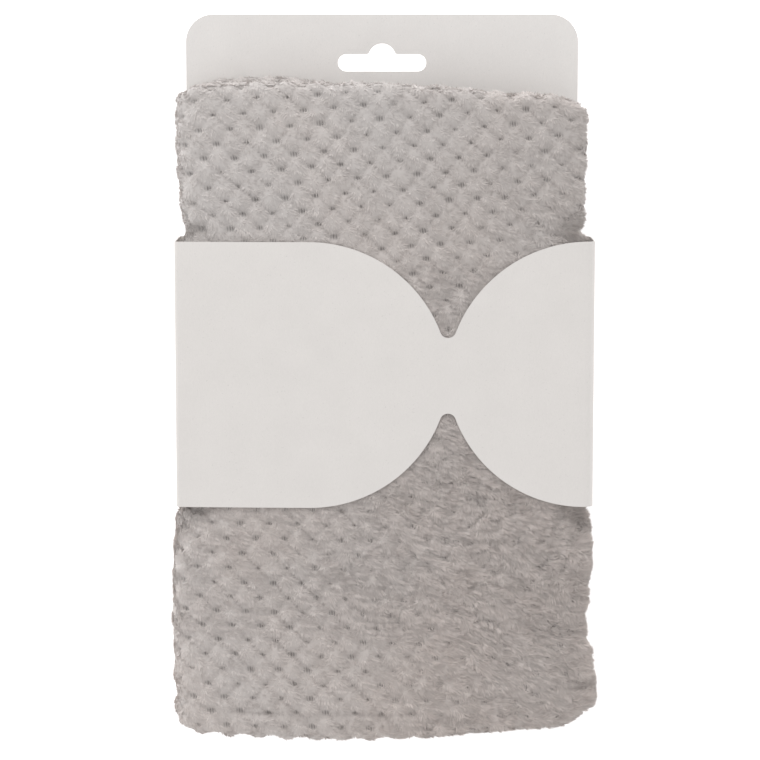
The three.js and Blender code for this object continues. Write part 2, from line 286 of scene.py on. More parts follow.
for side in (-1, 1):
    x = card_middle_x + side * flare_x
    low_z, high_z = -2 * cut_reach, 2 * cut_reach
    cut(flare_hole, add_disc("flare", x, flare_y, slot_flare_radius, low_z, high_z, sides=32))
cut(card, slot_hole, hump_hole, flare_hole)
finish_with(
    card, "BEVEL", width=card_edge_wear, segments=2,
    limit_method="ANGLE", angle_limit=math.radians(50),
)

# The small angle keeps the shading of the worn edges off the flat faces
smooth_faces(card, 15)
card.data.materials.append(board_material("grey_card_board", card_colour))
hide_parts("hanging_card")
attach(card, "root")


# Card sleeve
# The real sleeve is one thin board creased round the folded cloth and glued behind with a lap.
# Two scallops are die-cut from its front and leave a narrow neck between two large round ends.

sleeve_low, sleeve_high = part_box("card_sleeve")
sleeve_middle = (sleeve_low + sleeve_high) / 2
sleeve_half_height = (sleeve_high.y - sleeve_low.y) / 2
sleeve_half_width = (sleeve_high.x - sleeve_low.x) / 2
sleeve_board = 0.5 * mm
sleeve_crown = 2.5 * mm
sleeve_shoulder = sleeve_high.z - sleeve_crown
left_fold_radius = 1.5 * mm
right_fold_radius = 3 * mm
scallop_radius = sleeve_half_height + 2.35 * mm
scallop_inset = 2.9 * mm
scallop_tip_radius = 2.9 * mm
scallop_neck = 27.3 * mm
glue_lap_width = 14 * mm
glue_lap_step = 0.2 * mm
cuts_across_sleeve = 31
cuts_up_sleeve = 19
sleeve_colour = (0.748, 0.718, 0.694, 1)

scallop_drop = sleeve_half_height - scallop_radius
scallop_tip_y = scallop_neck / 2 + scallop_tip_radius
scallop_spread = math.sqrt(
    (scallop_radius + scallop_tip_radius) ** 2 - (scallop_tip_y - scallop_drop) ** 2
)
scallop_right_x = sleeve_high.x - scallop_inset
scallop_tip_x = scallop_right_x - scallop_spread
scallop_left_x = scallop_tip_x - scallop_spread
scallop_touch = scallop_radius / (scallop_radius + scallop_tip_radius)
scallop_touch_y = scallop_drop + (scallop_tip_y - scallop_drop) * scallop_touch

sleeve = add_block("card_wrap", sleeve_low, (sleeve_high.x, sleeve_high.y, sleeve_shoulder))
pick(sleeve, "FACE", lambda corners: max(c.y for c in corners) - min(c.y for c in corners) < mm)
bpy.ops.mesh.delete(type="FACE")
bpy.ops.object.mode_set(mode="OBJECT")
for fold_radius, left in ((left_fold_radius, True), (right_fold_radius, False)):
    round_edges(
        sleeve,
        lambda ends: spans(1, 10 * mm)(ends) and (ends[0].x < sleeve_middle.x) == left,
        fold_radius,
        segments=6,
    )
for axis, cuts in ((0, cuts_across_sleeve), (1, cuts_up_sleeve)):
    pick(sleeve, "EDGE", spans(axis, 50 * mm))
    bpy.ops.mesh.subdivide(number_cuts=cuts)
    bpy.ops.object.mode_set(mode="OBJECT")
for point in sleeve.data.vertices:
    share = (point.co.x - sleeve_middle.x) / sleeve_half_width
    lift = max(0, point.co.z - sleeve_middle.z) / (sleeve_shoulder - sleeve_middle.z)
    point.co.z += sleeve_crown * (1 - share * share) * lift
finish_with(sleeve, "SOLIDIFY", thickness=sleeve_board, offset=-1, use_even_offset=True)
low_z = sleeve_middle.z
high_z = sleeve_high.z + cut_reach
for side in (1, -1):
    touch_y = sleeve_middle.y + side * scallop_touch_y
    outside_y = sleeve_middle.y + side * (sleeve_half_height + cut_reach)
    round_y = sleeve_middle.y + side * scallop_drop
    tip_y = sleeve_middle.y + side * scallop_tip_y
    notch = add_block(
        "notch", (scallop_left_x, touch_y, low_z), (scallop_right_x, outside_y, high_z)
    )
    for x in (scallop_left_x, scallop_right_x):
        round_end = add_disc(
            "round_end", x, round_y, scallop_radius, low_z - mm, high_z + mm, sides=256
        )
        cut(notch, round_end)
    tip = add_disc("tip", scallop_tip_x, tip_y, scallop_tip_radius, low_z, high_z, sides=64)
    cut(sleeve, notch, tip)
lap_edge = sleeve_high.x - right_fold_radius - glue_lap_width
lap_end = sleeve_high.x - right_fold_radius
cut(sleeve, add_block(
    "lap_step",
    (lap_edge, sleeve_low.y - mm, -mm),
    (lap_end, sleeve_high.y + mm, glue_lap_step),
))
smooth_faces(sleeve, 30)
sleeve.data.materials.append(board_material("bare_sleeve_board", sleeve_colour))
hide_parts("card_sleeve")
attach(sleeve, "root")


# Turban cloth
# The real turban is two sheets of coral fleece sewn together along their edges, 24 cm wide and
# 60 cm long, folded in quarters. Its pile is knitted in a waffle of puffs round small bare holes.

folded_height = 241.5 * mm
sleeve_below_towel_top = 58 * mm
ply_thickness = 5.5 * mm
ply_gap = 0.4 * mm
sleeve_clearance = 0.3 * mm
hem_width = 9.5 * mm
hole_width = 2.9 * mm
hole_height = 1.8 * mm
rib_spacing = 0.95 * mm
loop_spacing = 0.5 * mm
ground_shade = 0.93
shown_step = 0.95 * mm
hidden_step = 3.4 * mm

ply_pitch = ply_thickness + ply_gap
half_ply = ply_thickness / 2
towel_low, towel_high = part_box("towel")
stack_back = towel_low.z
stack_height = 3 * ply_pitch + ply_thickness
half_inside = sleeve_half_width - sleeve_board - sleeve_clearance
towel_top = sleeve_high.y + sleeve_below_towel_top
towel_bottom = towel_top - folded_height

# Upper and lower edges across the pack. x is a share of the half width, the others of the height
pack_edges = {
    "x": (-1.0, -0.9, -0.6, -0.3, 0.0, 0.3, 0.6, 0.85, 1.0),
    "top_drop": (0.022, 0.006, 0.000, 0.002, 0.003, 0.007, 0.018, 0.020, 0.036),
    "bottom_rise": (0.019, 0.013, 0.007, 0.004, 0.005, 0.009, 0.018, 0.022, 0.058),
}
# The waffle's holes, below the sleeve and above it: a hole's place, the width and height of the
# rows, how much the rows rise to the right, and how much the columns lean to the left going up
waffle = {
    "hole_x": (-49.9 * mm, -33.5 * mm),
    "hole_y": (-61.3 * mm, 92.9 * mm),
    "width": (10.12 * mm, 10.77 * mm),
    "row": (5.37 * mm, 5.09 * mm),
    "rise": (-0.016, 0.065),
    "lean": (0.065, 0.118),
    "columns_between": 3,
    "rows_between": 30,
}
# How far each ply's edges lie inside the pack's, in shares of the ply's thickness
ply_insets = {
    "ply": (0, 1, 2, 3),
    "top": (0.0, 0.35, 0.2, 0.3),
    "bottom": (0.2, 0.4, 0.25, 0.0),
}
# The cloth narrows to its tail. above and below are shares of the overhang past the sleeve
taper = {
    "at": (0.0, 0.05, 0.11, 0.18, 0.96, 1.0),
    "above": (0.30, 0.62, 0.88, 1.0, 1.0, 0.95),
    "below": (0.25, 0.62, 0.92, 1.0, 1.0, 0.96),
}
# Sides and thickness of the pack. height runs from -1, the bottom, through the sleeve, 0, to 1
pack_sides = {
    "height": (-1.0, -0.95, -0.9, -0.86, -0.78, -0.6, -0.5, -0.24, -0.045,
               0.0, 0.07, 0.3, 0.6, 0.86, 1.0),
    "left": (1.020, 1.026, 1.030, 1.034, 1.032, 1.038, 1.040, 1.034, 1.032,
             1.0, 0.980, 0.990, 1.006, 1.004, 0.992),
    "right": (1.018, 1.034, 1.045, 1.047, 1.037, 1.010, 0.978, 1.010, 1.014,
              1.0, 0.970, 0.961, 0.970, 0.965, 0.952),
    "loft": (0.96, 0.98, 0.99, 1.0, 1.01, 1.03, 1.04, 1.04, 1.01,
             1.0, 1.01, 1.03, 1.02, 0.98, 0.94),
}
# Heights of the ground's relief under the pile, in millimetres
ground_sink = 0.45
puff_height = 0.5
groove_depth = 0.4
hole_depth = 0.7
dimple_depth = 0.6
hem_groove_depth = 1.1
crush_sink = 0.1
# Shares: a puff's and a hole's own random size, a groove's width in its puff, and a dimple's
# steepness beside that of its hole
puff_sizes = (0.75, 1.2)
hole_sizes = (0.5, 1.1)
groove_width = 0.07
dimple_steepness = 0.42
# How much of the relief crushing takes away, and how much stronger it is where seen from its side
crush_loss = 0.6
side_on_gain = 0.8
hem_groove_width = 1.1 * mm
pressed_sink = 0.35 * mm
# Where the pile begins to be crushed and where it is wholly crushed, across the pack's middle
crush_start = -20 * mm
crush_full = 75 * mm
crush_slant = 0.55
# How much narrower and lower the cloth is beside the sleeve's corners
corner_squeeze = 0.02
left_corner_drop = 0.25
right_corner_drop = 0.4
# How square a fold is: 2 is round
round_fold = 2
broad_fold = 2.4


def read_table(table, key, column, at):
    """Reads a table at any place between its rows, with its corners eased."""
    steps = np.linspace(table[key][0], table[key][-1], 400)
    values = np.interp(steps, table[key], table[column])
    window = np.hanning(15)
    padded = np.pad(values, len(window) // 2, mode="edge")
    return np.interp(at, steps, np.convolve(padded, window / window.sum(), mode="valid"))


def ease(value, low, high):
    """Rises smoothly from 0 at low to 1 at high."""
    share = np.clip((value - low) / (high - low), 0, 1)
    return share * share * (3 - 2 * share)


def ripples(x, y, size, seed):
    """Smooth random waves of about this size over a surface, from -1 to 1."""
    many = 128
    start = 1.0
    chance = np.random.default_rng(seed).uniform(-1, 1, (many, many))
    across, up = (x + start) / size, (y + start) / size
    i, j = np.floor(across).astype(int), np.floor(up).astype(int)
    s, t = ease(across - i, 0, 1), ease(up - j, 0, 1)
    near = chance[i % many, j % many] * (1 - s) + chance[(i + 1) % many, j % many] * s
    far = chance[i % many, (j + 1) % many] * (1 - s) + chance[(i + 1) % many, (j + 1) % many] * s
    return near * (1 - t) + far * t


def ply_middle(ply):
    return stack_back + half_ply + ply * ply_pitch


def straight_run(start, end, ply, step):
    """Stations along a flat stretch of a ply: x, z, ply and share of the full thickness."""
    count = round(abs(end - start) / step)
    x = np.linspace(start, end, count, endpoint=False)
    return np.stack([x, np.full(count, ply_middle(ply)), np.full(count, ply), np.ones(count)], 1)


def bent_run(x, side, depth, first, last, fullness, step):
    """Stations round a fold, from one ply to another."""
    share = np.arange(0, 1, step / (math.pi * depth))
    angle = math.pi * (share - 0.5)
    out = np.cos(angle) ** (2 / fullness)
    rise = np.sign(angle) * np.abs(np.sin(angle)) ** (2 / fullness)
    z = ply_middle((first + last) / 2) + np.sign(last - first) * depth * rise
    ply = first + (last - first) * share
    return np.stack([x + side * depth * out, z, ply, np.ones(len(share))], 1)


def rounded_end(x, ply, turns):
    """Stations in the last half thickness of an end, where the cloth is rounded off."""
    back = x - half_ply * (1 - np.cos(turns))
    return np.stack([back, ply_middle(ply) + 0 * turns, ply + 0 * turns, np.sin(turns)], 1)


bend_depth = 1.5 * ply_pitch
left_bend = -half_inside + half_ply + bend_depth
tight_radius = ply_pitch / 2
right_fold = half_inside - half_ply - tight_radius
inner_fold = left_bend - bend_depth + ply_thickness + ply_gap + tight_radius
tail_end = half_inside - half_ply
head_end = half_inside - ply_thickness
quarter = np.linspace(0.15, math.pi / 2, 6)
path = np.concatenate([
    rounded_end(tail_end, 0, quarter[:-1]),
    straight_run(tail_end - half_ply, left_bend, 0, hidden_step),
    bent_run(left_bend, -1, bend_depth, 0, 3, broad_fold, shown_step),
    straight_run(left_bend, right_fold, 3, shown_step),
    bent_run(right_fold, 1, tight_radius, 3, 2, round_fold, shown_step),
    straight_run(right_fold, inner_fold, 2, hidden_step),
    bent_run(inner_fold, -1, tight_radius, 2, 1, round_fold, hidden_step),
    straight_run(inner_fold, head_end - half_ply, 1, hidden_step),
    rounded_end(head_end, 1, quarter[::-1]),
])
station_x, station_z, station_ply, station_slim = path.T
along = np.gradient(path[:, :2], axis=0)
along /= np.linalg.norm(along, axis=1, keepdims=True)
steps = np.linalg.norm(np.diff(path[:, :2], axis=0), axis=1)
station_length = np.concatenate([[0], np.cumsum(steps)])
cloth_length = station_length[-1]
is_front = station_ply == 3
front_shift = np.median((station_length - station_x)[is_front])

# One turn round the cloth's cross-section, from the lower edge up its outer side and down its
# inner side: the share of the height, and the place round the edge and through the cloth
rows_outside = round((folded_height - ply_thickness) / shown_step)
rows_inside = 30
arc = np.linspace(0, math.pi / 2, 6)[:-1]
turn_share = np.concatenate([
    0 * arc, np.linspace(0, 1, rows_outside), 1 + 0 * arc, 1 + 0 * arc,
    np.linspace(1, 0, rows_inside), 0 * arc, [0],
])
turn_edge = np.concatenate([
    -np.cos(arc), np.zeros(rows_outside), np.cos(arc[::-1]), np.cos(arc),
    np.zeros(rows_inside), -np.cos(arc[::-1]), [-1],
])
turn_depth = np.concatenate([
    np.sin(arc), np.ones(rows_outside), np.sin(arc[::-1]), -np.sin(arc),
    -np.ones(rows_inside), -np.sin(arc[::-1]), [0],
])
turn_angle = np.concatenate([
    arc - math.pi / 2, np.zeros(rows_outside), math.pi / 2 - arc[::-1], math.pi / 2 + arc,
    np.zeros(rows_inside), -math.pi / 2 - arc[::-1], [-math.pi / 2],
])

across_pack = station_x / half_inside
height_share = station_length / cloth_length
full_top = (
    towel_top
    - read_table(pack_edges, "x", "top_drop", across_pack) * folded_height
    - np.interp(station_ply, ply_insets["ply"], ply_insets["top"]) * ply_thickness
)
full_bottom = (
    towel_bottom
    + read_table(pack_edges, "x", "bottom_rise", across_pack) * folded_height
    + np.interp(station_ply, ply_insets["ply"], ply_insets["bottom"]) * ply_thickness
)
above = read_table(taper, "at", "above", height_share)
below = read_table(taper, "at", "below", height_share)
cloth_top = sleeve_high.y + (full_top - sleeve_high.y) * above
cloth_bottom = sleeve_low.y + (full_bottom - sleeve_low.y) * below

room = (cloth_top - cloth_bottom - ply_thickness)[:, None]
y = cloth_bottom[:, None] + half_ply + turn_share * room + turn_edge * half_ply
depth = turn_depth * half_ply * station_slim[:, None]
x = station_x[:, None] - along[:, 1:] * depth
z = station_z[:, None] + along[:, :1] * depth
height = np.where(
    y > sleeve_middle.y,
    np.clip((y - sleeve_high.y) / sleeve_below_towel_top, 0, 1),
    np.clip((y - sleeve_low.y) / (sleeve_low.y - towel_bottom), -1, 0),
)
left = read_table(pack_sides, "height", "left", height)
right = read_table(pack_sides, "height", "right", height)
loft = read_table(pack_sides, "height", "loft", height)
crown = 1 + sleeve_crown * (1 - np.clip(np.abs(x) / half_inside, 0, 1) ** 2) / stack_height

# The sleeve's square corners stand clear of the rounder cloth
corner = ease(np.abs(x) / half_inside, 0.78, 1.0) * np.exp(-(height / 0.12) ** 2)
squeeze = 1 - corner_squeeze * corner
loft = loft * (1 - np.where(x < 0, left_corner_drop, right_corner_drop) * corner)
cloth = np.stack([
    sleeve_middle.x + x * np.where(x < 0, left, right) * squeeze,
    y,
    stack_back + (z - stack_back) * loft * crown,
], 2)


def outward(cloth):
    """Unit normals of the folded cloth, from its neighbouring points."""
    closed = np.concatenate([cloth[:, -2:-1], cloth, cloth[:, 1:2]], 1)
    round_it = np.gradient(closed, axis=1)[:, 1:-1]
    normal = np.cross(np.gradient(cloth, axis=0), round_it)
    length = np.linalg.norm(normal, axis=2, keepdims=True)
    return normal / np.maximum(length, 1e-12)


def open_by(x, y, z):
    """How far a point of the cloth lies outside the sleeve's outline, or under 0 inside it."""
    from_middle = np.abs(y - sleeve_middle.y)
    beyond_edge = from_middle - sleeve_half_height
    rise = from_middle - scallop_drop
    left_gap = np.hypot(x - scallop_left_x, rise) - scallop_radius
    right_gap = np.hypot(x - scallop_right_x, rise) - scallop_radius
    tip_gap = scallop_tip_radius - np.hypot(x - scallop_tip_x, from_middle - scallop_tip_y)
    in_notch = np.where(from_middle > scallop_touch_y, np.minimum(left_gap, right_gap), tip_gap)
    in_front = (x > scallop_left_x) & (x < scallop_right_x) & (z > sleeve_middle.z)
    return np.maximum(beyond_edge, np.where(in_front, in_notch, -1))


# The pile is crushed, and its holes hidden, toward the lower right, as handling leaves it
def crush_at(x, y):
    wave = 14 * mm * ripples(x, y, 22 * mm, seed=4)
    return ease(x - crush_slant * np.maximum(y, -50 * mm) + wave, crush_start, crush_full)


def parting_at(x, y):
    """Short creases where the crushed pile parts, from 0 to 1."""
    line = ripples(x, 1.6 * y, 4.5 * mm, seed=33)
    return np.exp(-(line / 0.08) ** 2) * ease(ripples(x, y, 6 * mm, seed=34), -0.4, 0.2)


def waffle_count(x, y):
    """Columns and rows of the waffle from one hole, counted over the flat cloth."""
    counts = []
    for part in (0, 1):
        right = x - waffle["hole_x"][part]
        up = y - waffle["hole_y"][part]
        column = (right + waffle["lean"][part] * up) / waffle["width"][part]
        row = (up - waffle["rise"][part] * right) / waffle["row"][part]
        column += part * waffle["columns_between"]
        row += part * waffle["rows_between"]
        counts.append((column, row))
    share = ease(y, sleeve_low.y, sleeve_high.y)
    return [low + (high - low) * share for low, high in zip(*counts)]


# Cloth coordinates: along the cloth and up it, with whole numbers p and q at the holes
flat_x = np.broadcast_to((station_length - front_shift)[:, None], y.shape)
flat_y = y + half_ply * (turn_angle - turn_edge)
wander_x = 0.5 * mm * ripples(flat_x, flat_y, 13 * mm, seed=7)
wander_y = 0.4 * mm * ripples(flat_x, flat_y, 11 * mm, seed=8)
column, row = waffle_count(flat_x + wander_x, flat_y + wander_y)
waffle_p = column - row / 2
waffle_q = column + row / 2
crush = crush_at(cloth[:, :, 0], cloth[:, :, 1])


def one_each(p, q, seed, low, high):
    """A random size between two limits for each whole p and q."""
    sizes = np.random.default_rng(seed).uniform(low, high, (64, 64))
    return sizes[p.astype(int) % 64, q.astype(int) % 64]


def hole_size(p, q):
    """Each hole's own size: some gape and some are nearly closed."""
    return one_each(np.round(p), np.round(q), 5, *hole_sizes)


def waffle_at(p, q):
    """Distance to the nearest hole in hole widths, and offsets from the puff's middle."""
    from_hole_p, from_hole_q = p - np.round(p), q - np.round(q)
    to_hole = np.hypot(
        (from_hole_p + from_hole_q) * waffle["width"][1] / hole_width,
        (from_hole_q - from_hole_p) * 2 * waffle["row"][1] / hole_height,
    )
    return to_hole / hole_size(p, q), p - np.floor(p) - 0.5, q - np.floor(q) - 0.5


to_hole, puff_p, puff_q = waffle_at(waffle_p, waffle_q)
side_on = 1 - np.abs(outward(cloth)[:, :, 2])
kept = (1 - crush_loss * crush) * (1 + side_on_gain * side_on)
puffs = np.cos(math.pi * puff_q) ** 0.7 * np.cos(math.pi * puff_p) ** 0.5
puffs *= one_each(np.floor(waffle_p), np.floor(waffle_q), 6, *puff_sizes)
grooves = np.exp(-((0.5 - np.abs(puff_q)) / groove_width) ** 2) * (
    0.45 + 0.9 * ripples(flat_x, flat_y, 8 * mm, seed=14)
)
holes = hole_depth * np.exp(-(to_hole ** 2))
holes += dimple_depth * np.exp(-((dimple_steepness * to_hole) ** 2))
lumps = ripples(flat_x, flat_y, 4.2 * mm, seed=11) * (0.08 + 0.12 * crush)
lumps += ripples(flat_x, flat_y, 2.1 * mm, seed=12) * (0.1 + 0.24 * crush)
lumps -= 0.35 * crush * parting_at(flat_x, flat_y)

# The hem's groove shows at the left, and gets deeper and shallower along it
hem_rise = y - cloth_bottom[:, None] - 0.7 * mm * ripples(flat_x, y, 9 * mm, seed=13)
across_only = np.full(y.shape, -1.0)
hem_depth = ease(-cloth[:, :, 0], -40 * mm, 25 * mm) * (
    0.7 + 0.5 * ripples(flat_x, across_only, 11 * mm, seed=15)
)
hem_groove = hem_depth * np.exp(-((hem_rise - hem_width) / hem_groove_width) ** 2)
relief = mm * (
    -ground_sink + kept * (puff_height * puffs - groove_depth * grooves - holes) + lumps
    - crush_sink * crush - hem_groove_depth * hem_groove
)

# Relief is full where the cloth shows, and the cloth is pressed flat inside the sleeve and pack
outer_side = turn_depth > 0.01
shown_stations = (station_length > station_length[station_ply > 0.4][0]) & (
    station_length < station_length[is_front][-1] + 2.4 * tight_radius
)
at_edge = np.abs(turn_edge) > 0.01
free = np.where((shown_stations[:, None] & outer_side) | at_edge, 1.0, 0.0)
open_here = open_by(cloth[:, :, 0], cloth[:, :, 1], cloth[:, :, 2])
pressed = 1 - ease(open_here, -0.5 * mm, 3.5 * mm)
relief = free * ((1 - pressed) * relief - pressed * pressed_sink)
cloth = cloth + outward(cloth) * relief[:, :, None]
cloth_normal = outward(cloth)

columns, rows = cloth.shape[:2]
bpy.ops.object.select_all(action="DESELECT")
bpy.ops.mesh.primitive_grid_add(x_subdivisions=columns - 1, y_subdivisions=rows - 1, size=1)
towel = settle("folded_turban_cloth")
grid = np.empty(len(towel.data.vertices) * 3)
towel.data.vertices.foreach_get("co", grid)
grid = grid.reshape(-1, 3)
column_of = np.round((grid[:, 0] + 0.5) * (columns - 1)).astype(int)
row_of = np.round((grid[:, 1] + 0.5) * (rows - 1)).astype(int)
towel.data.vertices.foreach_set("co", cloth[column_of, row_of].astype(np.float32).ravel())
weave = np.stack([waffle_p, waffle_q, hole_size(waffle_p, waffle_q)], 2)[column_of, row_of]
attribute = towel.data.attributes.new("waffle", "FLOAT_VECTOR", "POINT")
attribute.data.foreach_set("vector", weave.astype(np.float32).ravel())
towel.data.uv_layers[0].name = "OFBake"
finish_with(towel, "WELD", merge_threshold=0.02 * mm)
pick(towel, "EDGE", lambda ends: True)
bpy.ops.mesh.fill_holes(sides=0)
bpy.ops.object.mode_set(mode="OBJECT")
smooth_faces(towel, 180)


# The knitted ground and the pile share the fleece's colour: light grey, with painted light in it.
# It is painted lighter toward the left, where the light comes from, and browner toward the lower
# right, where the crushed pile lies another way and takes the light differently
def make_fleece_colour_and_light():
    group, start, end = new_group("fleece colour and painted light", [
        ("Place", "INPUT", "NodeSocketVector"),
        ("Cool", "INPUT", "NodeSocketColor"),
        ("Warm", "INPUT", "NodeSocketColor"),
        ("Colour", "OUTPUT", "NodeSocketColor"),
    ])
    place = start.outputs["Place"]
    warmth = add_node(group, "ShaderNodeVectorMath", {
        0: place, 1: (3.2, -2.6, 0),
    }, operation="DOT_PRODUCT")
    # Painted light: the colour is lighter toward the left, where the light comes from
    painted_light_from_left = add_node(group, "ShaderNodeVectorMath", {
        0: place, 1: (-0.85, 0.05, 0),
    }, operation="DOT_PRODUCT")
    patches = add_node(group, "ShaderNodeTexNoise", {"Vector": place, "Scale": 28, "Detail": 2})
    share = arithmetic(group, "MULTIPLY_ADD", patches.outputs["Fac"], 0.9, -0.05)
    share = arithmetic(group, "ADD", share, warmth.outputs["Value"])
    share = add_node(group, "ShaderNodeClamp", {"Value": share}).outputs[0]
    colour = blend_colours(group, share, start.outputs["Cool"], start.outputs["Warm"])
    lit = add_node(group, "ShaderNodeVectorMath", {
        0: colour, 1: arithmetic(group, "ADD", painted_light_from_left.outputs["Value"], 1.0),
    }, operation="MULTIPLY")
    group.links.new(lit.outputs[0], end.inputs["Colour"])
    return group


fleece_colour_and_light = make_fleece_colour_and_light()
cool_fleece = (0.570, 0.536, 0.519, 1)
warm_fleece = (0.586, 0.526, 0.495, 1)


def fleece_material(name):
    """A soft matt fleece shader with the shared tone and painted light, and its colour node."""
    material, tree, shader = new_material(name)
    place = add_node(tree, "ShaderNodeTexCoord")
    tone = add_node(tree, "ShaderNodeGroup", node_tree=fleece_colour_and_light)
    tree.links.new(place.outputs["Object"], tone.inputs["Place"])
    tone.inputs["Cool"].default_value = cool_fleece
    tone.inputs["Warm"].default_value = warm_fleece
    shader.inputs["Specular IOR Level"].default_value = 0.1
    shader.inputs["Sheen Weight"].default_value = 0.45
    shader.inputs["Sheen Roughness"].default_value = 0.5
    return material, tree, shader, place, tone


def make_ground_material():
    material, tree, shader, place, tone = fleece_material("knitted_ground")
    counts = add_node(tree, "ShaderNodeAttribute", attribute_name="waffle")
    parts = add_node(tree, "ShaderNodeSeparateXYZ", {0: counts.outputs["Vector"]})
    p = arithmetic(tree, "SUBTRACT", parts.outputs[0], arithmetic(tree, "ROUND", parts.outputs[0]))
    q = arithmetic(tree, "SUBTRACT", parts.outputs[1], arithmetic(tree, "ROUND", parts.outputs[1]))
    across = arithmetic(tree, "MULTIPLY", arithmetic(tree, "ADD", p, q), 0.5 * waffle["width"][1])
    up = arithmetic(tree, "MULTIPLY", arithmetic(tree, "SUBTRACT", q, p), waffle["row"][1])
    wide = arithmetic(tree, "POWER", arithmetic(tree, "DIVIDE", across, 0.5 * hole_width), 2)
    high = arithmetic(tree, "POWER", arithmetic(tree, "DIVIDE", up, 0.5 * hole_height), 2)
    to_hole = arithmetic(tree, "SQRT", arithmetic(tree, "ADD", wide, high))
    to_hole = arithmetic(tree, "DIVIDE", to_hole, parts.outputs[2])
    bare = add_node(tree, "ShaderNodeMapRange", {
        "Value": to_hole, "From Min": 0.55, "From Max": 1.5, "To Min": 1.0, "To Max": 0.0,
    }).outputs[0]
    ribs = arithmetic(tree, "MULTIPLY", across, 2 * math.pi / rib_spacing)
    ribs = arithmetic(tree, "SINE", ribs)
    loops = arithmetic(tree, "MULTIPLY", up, 2 * math.pi / loop_spacing)
    loops = arithmetic(tree, "SINE", loops)
    loops = arithmetic(tree, "MULTIPLY_ADD", loops, 0.2, 0.8)
    knit = arithmetic(tree, "MULTIPLY_ADD", arithmetic(tree, "MULTIPLY", ribs, loops), 0.25, 0.7)
    # Painted shade in the bare holes: the recess darkens in colour, with the knit's ribs and loops
    # in it
    painted_hole_shade = arithmetic(tree, "MULTIPLY", bare, arithmetic(tree, "SUBTRACT", 1.0, knit))
    shade = arithmetic(tree, "SUBTRACT", 1.0, painted_hole_shade)
    shade = arithmetic(tree, "MULTIPLY", shade, ground_shade)
    colour = add_node(tree, "ShaderNodeVectorMath", {
        0: tone.outputs["Colour"], 1: shade,
    }, operation="MULTIPLY")
    fuzz = add_node(tree, "ShaderNodeTexNoise", {
        "Vector": place.outputs["Object"], "Scale": 1500, "Detail": 3,
    })
    bump = add_node(tree, "ShaderNodeBump", {
        "Height": fuzz.outputs["Fac"], "Strength": 0.6, "Distance": 0.3 * mm,
    })
    rough = add_node(tree, "ShaderNodeMapRange", {
        "Value": fuzz.outputs["Fac"], "To Min": 0.85, "To Max": 1.0,
    })
    tree.links.new(colour.outputs[0], shader.inputs["Base Color"])
    tree.links.new(rough.outputs[0], shader.inputs["Roughness"])
    tree.links.new(bump.outputs["Normal"], shader.inputs["Normal"])
    return material


towel.data.materials.append(make_ground_material())
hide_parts("towel")
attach(towel, "root")


# Pile
# The real pile is millions of cut microfibre ends, 3 mm long, that cling together in fine locks.
# Each lock here is one closed spike rooted in the ground. It leans away from the middle of its
# puff, and with the nap to the right and down.

locks_in_band = 49500
lock_length = 1.4 * mm
crushed_lock_length = 2.1 * mm
lock_width = 0.5 * mm
lock_depth = 0.2 * mm
root_depth = 0.1 * mm
edge_band = 3 * mm
reach_under_sleeve = 0.6 * mm
tip_above_floor = 0.3 * mm
length_over_hole = 0.15
# How far a lock leans where it rises by about 0.3: out of its puff, with the nap and by chance
puff_splay = 0.95
nap = 0.3
crushed_nap = 0.3
puff_lean = 0.35
lock_lean = 0.12
least_lean = 0.75
# Combed streaks raise the locks, with painted light on the raised ones and painted shade on the
# sunk ones, and the partings between them get painted shade
streak_width = 0.55 * mm
streak_height = 0.14 * mm
streak_painted_light = 0.13
crushed_streak_painted_light = 0.07
parting_painted_shade = 0.35
crushed_parting_painted_shade = 0.1
# Painted highlight on the edges of the pile that face up and to the left, toward the light
painted_edge_light = 0.1

# Bands of the pile from top to bottom, each of them one mesh with as many locks
bands = (
    ("pile_above_sleeve", sleeve_high.y - 8 * mm, towel_high.y + 10 * mm),
    ("pile_in_scallops", sleeve_low.y - 17 * mm, sleeve_high.y - 8 * mm),
    ("pile_below_sleeve", sleeve_low.y - 48 * mm, sleeve_low.y - 17 * mm),
    ("pile_at_hem", towel_low.y - 10 * mm, sleeve_low.y - 48 * mm),
)


def make_pile_material():
    material, tree, shader, _, tone = fleece_material("fleece_pile")
    # Each lock's own tone, with the painted light and shade of the pile
    lock = add_node(tree, "ShaderNodeAttribute", attribute_name="lock_tone_and_painted_light")
    colour = add_node(tree, "ShaderNodeVectorMath", {
        0: tone.outputs["Colour"], 1: lock.outputs["Fac"],
    }, operation="MULTIPLY")
    tree.links.new(colour.outputs[0], shader.inputs["Base Color"])
    shader.inputs["Roughness"].default_value = 0.9
    return material


def middles(values):
    """Mean of the four corners of each cell of the cloth's grid."""
    return (values[:-1, :-1] + values[1:, :-1] + values[:-1, 1:] + values[1:, 1:]) / 4


def corners_at(values, i, j, s, t):
    """A value inside a cell, between its four corners."""
    s, t = (s[:, None], t[:, None]) if values.ndim == 3 else (s, t)
    near = values[i, j] * (1 - s) + values[i + 1, j] * s
    far = values[i, j + 1] * (1 - s) + values[i + 1, j + 1] * s
    return near * (1 - t) + far * t


def unit(vectors):
    return vectors / np.maximum(np.linalg.norm(vectors, axis=1, keepdims=True), 1e-12)


